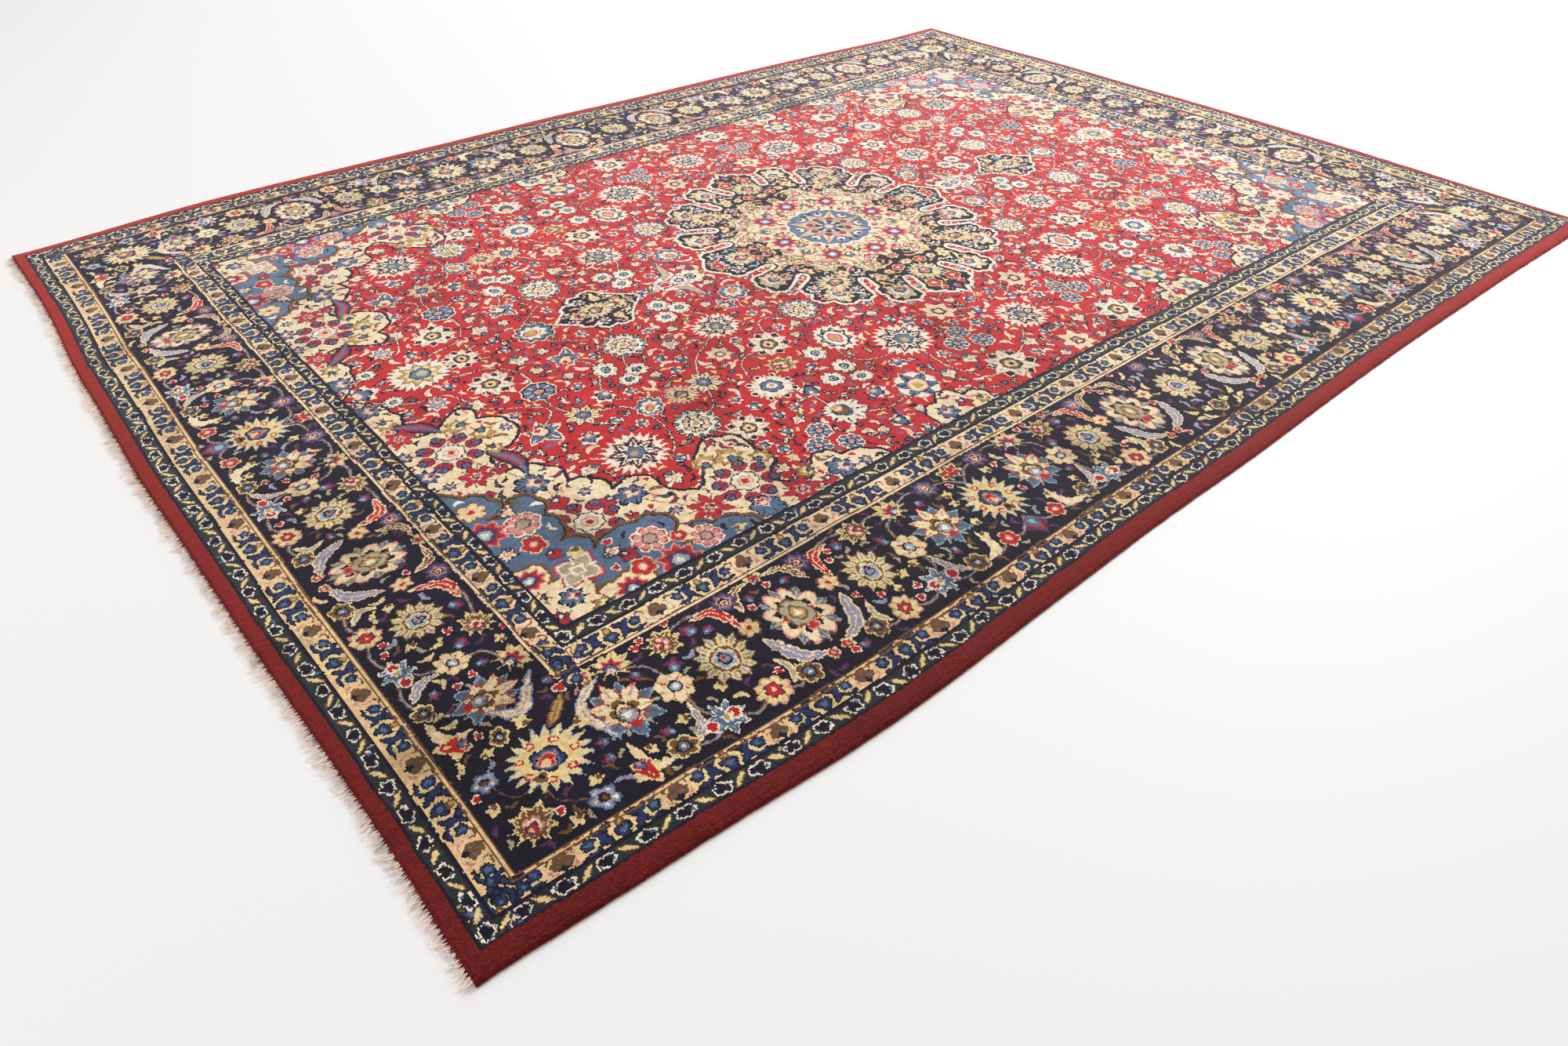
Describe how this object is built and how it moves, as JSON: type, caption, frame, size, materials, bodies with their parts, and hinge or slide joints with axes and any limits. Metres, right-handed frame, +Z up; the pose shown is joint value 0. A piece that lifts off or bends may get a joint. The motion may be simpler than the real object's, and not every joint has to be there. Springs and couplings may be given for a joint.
{
  "type": "persian rug",
  "caption": "Large hand-knotted rectangular wool rug laid flat, with overcast long sides and a short cotton fringe at each end.",
  "frame": {"origin": "middle of the underside, on the floor", "axes": "+X along the rug's length, +Y across it towards the far long side, +Z up out of the pile"},
  "size_m": [3.9975, 2.9369, 0.0162],
  "materials": {
    "pile": "clipped knotted wool pile, matt with a soft sheen",
    "selvedge": "overcast wool yarn",
    "fringe": "undyed cotton warp ends"
  },
  "bodies": {
    "root": {"rug": "pile", "selvedge_near": "selvedge", "selvedge_far": "selvedge", "fringe_left": "fringe", "fringe_right": "fringe"}
  },
  "joints": []
}
